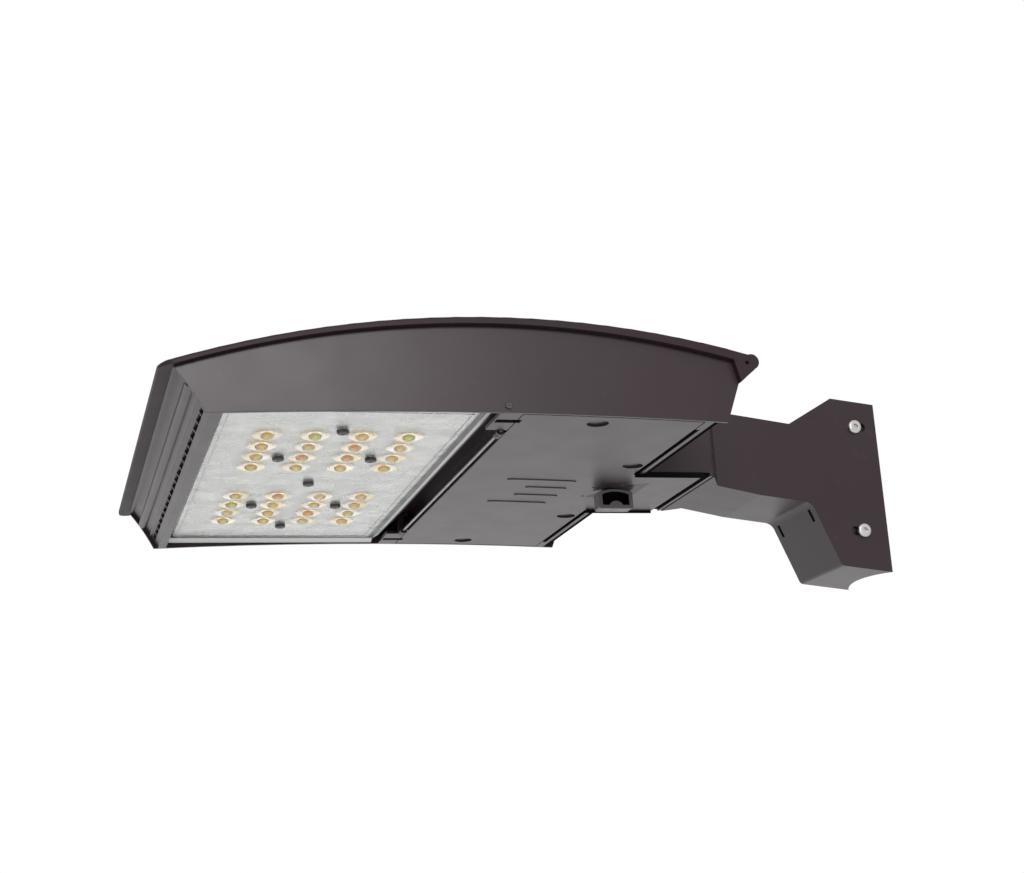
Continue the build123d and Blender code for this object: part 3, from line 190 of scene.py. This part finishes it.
def make_cast():
    """Bare die-cast aluminium: grey, grained, with darker patches."""
    paint = Paint("cast_fin", (0.42, 0.41, 0.4), 0.5, metallic=0.9)
    paint.tint(paint.patches(30.0, 0.4, 0.7, share=0.6, detail=5.0), (0.25, 0.245, 0.24))
    paint.gloss(paint.noise(120.0, 3.0), 0.42, 0.62)
    paint.bump(paint.noise(700.0, 3.0), 0.05 * MM)
    return paint


def make_phosphor_and_painted_tint(name, color, pale, scale):
    """Phosphor in silicone, paler in patches; also gives the painted orange and green tints and the
    painted halo pads.
    """
    paint = Paint(name, color, 0.35, Coat_Weight=0.6, Coat_Roughness=0.12)
    return paint.tint(paint.patches(scale, 0.4, 0.65, detail=2.0), pale)


def make_clear():
    """Clear moulded plastic with a hint of flow marks, and a warm tint in the domes that is painted
    refraction of the phosphor's colour.
    """
    paint = Paint("clear_lens", (0.97, 0.975, 0.965), 0.2, IOR=1.3, Transmission_Weight=1.0)
    paint.tint(paint.patches(45.0, 0.45, 0.7, share=0.5, detail=4.0), (0.9, 0.9, 0.86))
    paint.gloss(paint.noise(35.0, 4.0), 0.16, 0.34)
    paint.bump(paint.noise(60.0, 3.0), 0.08 * MM)
    # Painted refraction: the domes are tinted warm, unevenly, standing in for the phosphor's colour seen
    # through them.
    domed = paint.sums("SUBTRACT", 1.0, paint.height(DOME_DEEP, DOME_FLAT))
    uneven = paint.spread(paint.noise(60.0, 2.0), 0.4, 0.62, to_low=0.1)
    return paint.tint(paint.sums("MULTIPLY", domed, uneven), (0.95, 0.76, 0.42))


def make_rubber(name, color, **sockets):
    """Dull rubber or silicone with a fine grain."""
    paint = Paint(name, color, 0.62, **sockets)
    paint.gloss(paint.noise(150.0, 3.0), 0.52, 0.72)
    paint.bump(paint.noise(1200.0, 2.0), 0.03 * MM)
    return paint


def make_steel(name, color, rough):
    """Turned or plated steel with fine grain and a little grime."""
    paint = Paint(name, color, rough, metallic=1.0)
    paint.round_edges(0.2 * MM)
    paint.tint(paint.patches(STEEL_GRAIN / 2, 0.5, 0.75, share=0.45, detail=4.0), STEEL_GRIME)
    paint.gloss(paint.noise(STEEL_GRAIN, 4.0), rough - 0.08, rough + 0.12)
    paint.bump(paint.noise(STEEL_GRAIN * 3, 2.0), 0.015 * MM)
    return paint


def make_lens_screw():
    """Blackened head over a bright shank."""
    paint = make_steel("lens_screw", (0.07, 0.07, 0.075), 0.35)
    return paint.tint(paint.height(SCREW_SEAT, SCREW_SEAT + SCREW_FADE), (0.66, 0.67, 0.66))


def make_case():
    """Brushed aluminium case of the driver."""
    paint = Paint("driver_case", (0.62, 0.63, 0.64), 0.35, metallic=0.95)
    brushed = paint.noise(18.0, 4.0, stretch=(60.0, 1.0, 60.0))
    paint.gloss(brushed, 0.28, 0.45)
    paint.tint(paint.spread(brushed, 0.4, 0.7, to_high=0.35), (0.5, 0.5, 0.51))
    paint.bump(brushed, 0.02 * MM)
    return paint


def make_plastic(name, color, rough):
    """Moulded plastic with softened edges."""
    paint = Paint(name, color, rough)
    paint.round_edges(0.3 * MM)
    paint.gloss(paint.noise(90.0, 4.0), rough - 0.06, rough + 0.1)
    paint.bump(paint.noise(900.0, 2.0), 0.02 * MM)
    return paint


bronze = make_bronze("bronze_paint", 0.34, Specular_IOR_Level=0.36)
cover_bronze = make_bronze("bronze_cover", 0.5, Specular_IOR_Level=0.2)
# The finger pull is bronze like the door; its light grey is painted reflection, standing in for the
# paint's bright sheen.
grip_painted_light = make_plastic("grip_painted_light_grey", (0.15, 0.14, 0.137), 0.4)
board = make_board_paint()
cast = make_cast()
yellow = make_phosphor_and_painted_tint("phosphor", (0.92, 0.66, 0.2), (0.94, 0.78, 0.4), 900.0)
# Painted refraction: orange and green phosphor stand in for hues that light takes on through the domes.
painted_orange = make_phosphor_and_painted_tint("phosphor_painted_orange", (0.92, 0.4, 0.16), (0.93, 0.55, 0.3), 900.0)
painted_green = make_phosphor_and_painted_tint("phosphor_painted_green", (0.6, 0.76, 0.24), (0.78, 0.86, 0.4), 900.0)
# Painted halo: yellow pads stand in for the phosphor's colour spread around each emitter by the domes.
painted_halo = make_phosphor_and_painted_tint("painted_halo_pad", (0.9, 0.58, 0.16), (0.84, 0.8, 0.68), 90.0)
clear = make_clear()
# Black rubber of the gaskets and grommets; the same material paints the strips and sheet of painted
# shade below.
rubber_and_painted_shade = make_rubber("seal_rubber", (0.008, 0.008, 0.008), Specular_IOR_Level=0.0)
brown_rubber = make_rubber("neck_rubber", (0.02, 0.013, 0.013), Specular_IOR_Level=0.3)
silicone = make_rubber("seal_silicone", (0.74, 0.75, 0.75))
dark_steel = make_steel("dark_screw", (0.05, 0.05, 0.053), 0.4)
lens_screw = make_lens_screw()
stainless = make_steel("stainless", (0.5, 0.49, 0.48), 0.34)
dull_steel = make_steel("dull_steel", (0.3, 0.3, 0.3), 0.4)
zinc = make_steel("zinc_steel", (0.55, 0.56, 0.57), 0.36)
case = make_case()
terminal = make_plastic("terminal_plastic", (0.72, 0.7, 0.6), 0.4)
surge = make_plastic("surge_plastic", (0.14, 0.15, 0.19), 0.4)
black_lead = make_plastic("lead_black", (0.02, 0.02, 0.021), 0.42)
red_lead = make_plastic("lead_red", (0.3, 0.02, 0.015), 0.42)

dress = {
    bronze: ("housing", "hinge_brackets", "driver_door", "arm", "pole_bracket"),
    grip_painted_light: ("latch_grip",),
    cover_bronze: ("top_cover",),
    board: ("led_board_near", "led_board_far"),
    cast: ("heat_sink",),
    yellow: ("led_emitters",),
    clear: ("lens_plate",),
    rubber_and_painted_shade: ("door_gasket", "lead_grommet", "entry_grommet"),
    brown_rubber: ("neck_gasket",),
    silicone: ("lens_gasket", "lens_border"),
    dark_steel: ("side_screws", "hinge_screws"),
    lens_screw: ("lens_screws",),
    stainless: ("side_bolts", "latch_spring"),
    dull_steel: ("hinge_rod", "latch_slide"),
    zinc: ("sink_screws", "gear_tray", "tray_screws", "driver_screws", "guide_screws", "keeper_screws",
           "arm_bolts", "clamp_nuts", "cover_screws", "latch_keeper", "latch_guides"),
    case: ("led_driver",),
    terminal: ("terminal_block",),
    surge: ("surge_protector",),
    black_lead: ("supply_leads", "surge_leads"),
    red_lead: ("led_leads",),
}
for paint, names in dress.items():
    for name in names:
        nodes[name].data.materials.clear()
        nodes[name].data.materials.append(paint.mat)


# Pieces that the frame doesn't hold, placed from its nodes

WELD = 0.001 * MM
RAY_START_Z = -1.0
CAP_RINGS = 5
CAP_SIDES = 24


def piece(name, shape, paint, body):
    """Makes a shown piece of a bmesh, with its own material, that rides on a body."""
    mesh = bpy.data.meshes.new(name)
    bmesh.ops.recalc_face_normals(shape, faces=shape.faces)
    shape.to_mesh(mesh)
    shape.free()
    mesh.materials.append(paint.mat)
    made = bpy.data.objects.new(name, mesh)
    bpy.context.scene.collection.objects.link(made)
    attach(made, body)
    return made


def lowest_z(node, x, y):
    """Height at which a ray from below meets a node."""
    hit, place, _, _ = node.ray_cast(Vector((x, y, RAY_START_Z)), Vector((0.0, 0.0, 1.0)))
    return place.z if hit else None


def island_centres(node):
    """Centre and lowest height of each separate solid of a node."""
    shape = bmesh.new()
    shape.from_mesh(node.data)
    bmesh.ops.remove_doubles(shape, verts=shape.verts, dist=WELD)
    left = set(shape.verts)
    found = []
    while left:
        stack = [left.pop()]
        island = []
        while stack:
            vert = stack.pop()
            island.append(vert.co.copy())
            for edge in vert.link_edges:
                other = edge.other_vert(vert)
                if other in left:
                    left.remove(other)
                    stack.append(other)
        low = Vector((min(p[i] for p in island) for i in range(3)))
        high = Vector((max(p[i] for p in island) for i in range(3)))
        found.append(((low + high) / 2, low.z))
    shape.free()
    return found


def join_loops(shape, low, high):
    """Adds the band of faces between two closed loops of vertices."""
    for index in range(len(low)):
        after = (index + 1) % len(low)
        shape.faces.new((low[index], low[after], high[after], high[index]))


def drop_cap(shape, centre, radius, height):
    """Adds a round drop that hangs below a centre on a flat face."""
    rows = []
    for ring in range(CAP_RINGS):
        angle = ring / CAP_RINGS * math.pi / 2
        reach = radius * math.cos(angle)
        z = centre.z - height * math.sin(angle)
        rows.append([shape.verts.new((centre.x + reach * math.cos(2 * math.pi * side / CAP_SIDES),
                                      centre.y + reach * math.sin(2 * math.pi * side / CAP_SIDES), z))
                     for side in range(CAP_SIDES)])
    tip = shape.verts.new((centre.x, centre.y, centre.z - height))
    for low, high in zip(rows, rows[1:]):
        join_loops(shape, low, high)
    for side in range(CAP_SIDES):
        shape.faces.new((rows[-1][side], rows[-1][(side + 1) % CAP_SIDES], tip))
    shape.faces.new(rows[0][::-1])


# Phosphor on the emitters. A tint's spots are the row and column of its emitters, from the near row
# and the arm's side, and every other emitter is yellow. The orange and green tints are painted colour
# of light refracted through the domes; the phosphor itself is yellow.

# The pads are painted halo: a wide yellow disc behind each emitter for the colour the domes spread.
PHOSPHOR_RADIUS = 4.2 * MM
PHOSPHOR_HEIGHT = 4.2 * MM
HALO_RADIUS = 13.0 * MM
HALO_GAP = 0.3 * MM
HALO_HEIGHT = 0.3 * MM
GRID_DIGITS = 4
TINTS = {"painted_orange": ((1, 1), (2, 1), (2, 2), (6, 1), (4, 2)), "painted_green": ((0, 0), (0, 2), (5, 3))}


def make_phosphors():
    """A silicone drop on each emitter, most of them yellow, and behind each a pad of painted halo,
    yellow and paler in patches.
    """
    chips = sorted(island_centres(nodes["led_emitters"]), key=lambda chip: (chip[0].y, chip[0].x))
    columns = sorted({round(centre.x, GRID_DIGITS) for centre, _ in chips})
    rows = sorted({round(centre.y, GRID_DIGITS) for centre, _ in chips}, reverse=True)

    def tint_of(centre):
        spot = (rows.index(round(centre.y, GRID_DIGITS)), columns.index(round(centre.x, GRID_DIGITS)))
        return next((name for name, spots in TINTS.items() if spot in spots), "yellow")

    for tint, paint in (("yellow", yellow), ("painted_orange", painted_orange), ("painted_green", painted_green)):
        shape = bmesh.new()
        for centre, low in chips:
            if tint_of(centre) == tint:
                drop_cap(shape, Vector((centre.x, centre.y, low)), PHOSPHOR_RADIUS, PHOSPHOR_HEIGHT)
        made = piece("phosphor_drops_" + tint, shape, paint, "head")
        for face in made.data.polygons:
            face.use_smooth = True
    shape = bmesh.new()
    for centre, low in chips:
        seat = Vector((centre.x, centre.y, low + HALO_GAP + HALO_HEIGHT))
        drop_cap(shape, seat, HALO_RADIUS, HALO_HEIGHT)
    piece("painted_halo_pads", shape, painted_halo, "head")


make_phosphors()


# Bars on the driver door. Each row is its y, where it starts and where it ends, in millimetres of
# the head's frame, whose origin is TONGUE_REACH ahead of the door's rear edge.

TONGUE_REACH = 51.5 * MM
HEAD_SHIFT_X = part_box("driver_door")[0].x + TONGUE_REACH
BAR_ROWS = ((38.0, 66.0, 134.0), (10.0, 67.0, 108.0), (-20.0, 67.0, 111.0), (-50.0, 70.0, 130.0))
BAR_WIDTH = 5.0 * MM
BAR_RISE = 0.8 * MM
BAR_SINK = 0.4 * MM
BAR_STEPS = 16
BAR_END_SHARE = 0.35
BAR_PROFILE = ((-1.0, BAR_SINK), (-1.0, -BAR_RISE * 0.5), (-0.7, -BAR_RISE),
               (0.7, -BAR_RISE), (1.0, -BAR_RISE * 0.5), (1.0, BAR_SINK))


def add_bar(shape, y, start, end):
    """Adds one rounded bar that follows the door's outer face."""
    half = BAR_WIDTH / 2
    sections = []
    for step in range(BAR_STEPS + 1):
        share = step / BAR_STEPS
        x = start + (end - start) * share
        from_end = min(1.0, min(share, 1 - share) * (end - start) / half)
        taper = max(BAR_END_SHARE, math.sqrt(1.0 - (1.0 - from_end) ** 2))
        z = lowest_z(nodes["driver_door"], x, y)
        sections.append([shape.verts.new((x, y + side * half * taper, z + rise))
                         for side, rise in BAR_PROFILE])
    for low, high in zip(sections, sections[1:]):
        join_loops(shape, low, high)
    shape.faces.new(sections[0][::-1])
    shape.faces.new(sections[-1])


def make_bars():
    """Plain raised bars on the driver door."""
    shape = bmesh.new()
    for y, start, end in BAR_ROWS:
        add_bar(shape, y * MM, HEAD_SHIFT_X + start * MM, HEAD_SHIFT_X + end * MM)
    made = piece("door_bars", shape, bronze, "door")


make_bars()


# Black strips of painted shade in the tongue's gap, behind the rear rim and along the tongue's sides,
# and a black sheet of painted shade inside the finger pull. Outlines are x and z, and reaches are y,
# in millimetres of the head's frame, which lies HEAD_DROP below the part's.

HEAD_DROP = 5.0 * MM
# Strips of painted shade: one in the tongue's gap, two behind the rear rim, one along each side of the
# tongue.
TONGUE_SHADE_HALF = 68.0
TONGUE_GAP_SHADE = ((-57.9, 0.6), (-53.2, 0.6), (-53.2, 3.4), (-57.9, 3.4))
REAR_SHADE_REACH = (76.0, 251.0)
REAR_GAP_SHADE = ((11.2, 0.3), (7.8, 0.3), (6.6, 3.0), (9.4, 3.0))
TONGUE_EDGE_SHADE = ((-51.3, -2.2), (19.0, -2.2), (19.0, 2.5), (-51.3, 2.5))
TONGUE_EDGE_SHADE_REACH = (72.9, 74.7)


def across(shape, outline, y0, y1):
    """Adds a side-view outline drawn out across the head from y0 to y1."""
    ends = [[shape.verts.new((HEAD_SHIFT_X + x * MM, y * MM, z * MM - HEAD_DROP)) for x, z in outline]
            for y in (y0, y1)]
    join_loops(shape, *ends)
    shape.faces.new(ends[0][::-1])
    shape.faces.new(ends[1])


def make_painted_shade_strips():
    """Painted shade: black strips in the tongue's gap and behind the rear rim, and one along each side
    of the tongue.
    """
    shape = bmesh.new()
    across(shape, TONGUE_GAP_SHADE, -TONGUE_SHADE_HALF, TONGUE_SHADE_HALF)
    near, far = REAR_SHADE_REACH
    across(shape, REAR_GAP_SHADE, near, far)
    across(shape, REAR_GAP_SHADE, -far, -near)
    piece("rim_painted_shade", shape, rubber_and_painted_shade, "head")
    shape = bmesh.new()
    near, far = TONGUE_EDGE_SHADE_REACH
    across(shape, TONGUE_EDGE_SHADE, near, far)
    across(shape, TONGUE_EDGE_SHADE, -far, -near)
    piece("tongue_edge_painted_shade", shape, rubber_and_painted_shade, "door")


# Sizes of the black sheet of painted shade inside the finger pull, in millimetres of the head's frame.
SHADE_SHEET_STEPS = 12
SHADE_SHEET_GAP = 0.1
SHADE_SHEET_SKIN = 0.6
SHADE_SHEET_WALL = 3.6
SHADE_SHEET_CROWN = 0.6
SHADE_SHEET_EAVES = -2.3
SHADE_SHEET_FLOOR = -13.2
SHADE_SHEET_FRONT = 1.2


def make_grip_shade_sheet():
    """Painted shade: a black sheet over the finger pull's inside, its back, its sides and its arched
    roof.
    """
    low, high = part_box("latch_grip")
    left = (low.x - HEAD_SHIFT_X) / MM + SHADE_SHEET_WALL
    right = (high.x - HEAD_SHIFT_X) / MM - SHADE_SHEET_WALL
    back, front = low.y / MM + SHADE_SHEET_WALL, high.y / MM - SHADE_SHEET_FRONT
    middle, half = (left + right) / 2, (right - left) / 2

    def outline(inset):
        points = [(left + inset, SHADE_SHEET_FLOOR + SHADE_SHEET_GAP)]
        for step in range(SHADE_SHEET_STEPS + 1):
            share = 2.0 * step / SHADE_SHEET_STEPS - 1.0
            rise = (SHADE_SHEET_CROWN - SHADE_SHEET_EAVES) * (1.0 - share ** 2)
            points.append((middle + share * (half - inset), SHADE_SHEET_EAVES + rise - inset))
        return points + [(right - inset, SHADE_SHEET_FLOOR + SHADE_SHEET_GAP)]

    shape = bmesh.new()
    outer, inner = outline(SHADE_SHEET_GAP), outline(SHADE_SHEET_GAP + SHADE_SHEET_SKIN)
    across(shape, outer, back + SHADE_SHEET_GAP, back + SHADE_SHEET_GAP + SHADE_SHEET_SKIN)
    for index in range(len(outer) - 1):
        across(shape, (outer[index], outer[index + 1], inner[index + 1], inner[index]),
               back + SHADE_SHEET_GAP, front)
    piece("grip_painted_shade", shape, rubber_and_painted_shade, "latch")


make_painted_shade_strips()
make_grip_shade_sheet()


# Camera at the photograph's viewing angle

CAMERA_PLACE = Vector((0.8229, 1.5403, -0.3857))
CAMERA_BACK = Vector((0.2794, 0.9236, -0.2624)).normalized()
CAMERA_ROLL = math.radians(-3.644)
CAMERA_LENS = 59.98
SENSOR_WIDTH = 36.0
CLIP_END = 100.0


def make_camera():
    data = bpy.data.cameras.new("camera")
    data.lens = CAMERA_LENS
    data.sensor_width = SENSOR_WIDTH
    data.sensor_fit = "HORIZONTAL"
    data.clip_end = CLIP_END
    camera = bpy.data.objects.new("camera", data)
    bpy.context.scene.collection.objects.link(camera)
    right = Vector((0, 0, 1)).cross(CAMERA_BACK).normalized()
    up = CAMERA_BACK.cross(right)
    x_axis = right * math.cos(CAMERA_ROLL) + up * math.sin(CAMERA_ROLL)
    y_axis = up * math.cos(CAMERA_ROLL) - right * math.sin(CAMERA_ROLL)
    turn = Matrix((x_axis, y_axis, CAMERA_BACK)).transposed().to_4x4()
    camera.matrix_world = Matrix.Translation(CAMERA_PLACE) @ turn
    bpy.context.scene.camera = camera


make_camera()


# Floor, world and one soft lamp

FLOOR_Z = -2.2
FLOOR_SIDE = 30.0
FLOOR_LIFT = 0.46
WORLD_LEVEL = 0.68
KEY_PLACE = (0.62, 3.1, 1.0)
KEY_TARGET = (0.6, 0.2, 0.0)
KEY_SIZE = (1.3, 0.8)
KEY_POWER = 50.0


def shown_ray(tree):
    """1 for camera, glossy and transmission rays, to which the background shows white."""
    path = tree.nodes.new("ShaderNodeLightPath")
    seen = path.outputs["Is Camera Ray"]
    for other in ("Is Glossy Ray", "Is Transmission Ray"):
        both = tree.nodes.new("ShaderNodeMath")
        both.operation = "MAXIMUM"
        tree.links.new(seen, both.inputs[0])
        tree.links.new(path.outputs[other], both.inputs[1])
        seen = both.outputs["Value"]
    return seen


def make_floor():
    mesh = bpy.data.meshes.new("floor")
    corners = ((-1, -1), (1, -1), (1, 1), (-1, 1))
    mesh.from_pydata([(x * FLOOR_SIDE, y * FLOOR_SIDE, FLOOR_Z) for x, y in corners], [], [(0, 1, 2, 3)])
    floor = bpy.data.objects.new("floor", mesh)
    bpy.context.scene.collection.objects.link(floor)
    paint = Paint("floor_paint", (0.88, 0.88, 0.88), 0.8)
    paint.shader.inputs["Emission Color"].default_value = (1.0, 1.0, 1.0, 1.0)
    paint.link(paint.spread(shown_ray(paint.tree), 0.0, 1.0, 0.0, FLOOR_LIFT), "Emission Strength")
    mesh.materials.append(paint.mat)


def make_world():
    world = bpy.data.worlds.new("studio")
    bpy.context.scene.world = world
    world.use_nodes = True
    tree = world.node_tree
    back = tree.nodes["Background"]
    back.inputs["Color"].default_value = (1.0, 1.0, 1.0, 1.0)
    level = tree.nodes.new("ShaderNodeMapRange")
    level.inputs["To Min"].default_value = WORLD_LEVEL
    level.inputs["To Max"].default_value = 1.0
    tree.links.new(shown_ray(tree), level.inputs["Value"])
    tree.links.new(level.outputs["Result"], back.inputs["Strength"])


def make_lamp(name, place, target, size, power):
    data = bpy.data.lights.new(name, "AREA")
    data.shape = "RECTANGLE"
    data.size, data.size_y = size
    data.energy = power
    lamp = bpy.data.objects.new(name, data)
    bpy.context.scene.collection.objects.link(lamp)
    lamp.location = place
    lamp.rotation_mode = "QUATERNION"
    lamp.rotation_quaternion = (Vector(target) - Vector(place)).to_track_quat("-Z", "Y")


make_floor()
make_world()
make_lamp("key", KEY_PLACE, KEY_TARGET, KEY_SIZE, KEY_POWER)

view = bpy.context.scene.view_settings
view.view_transform = "Standard"
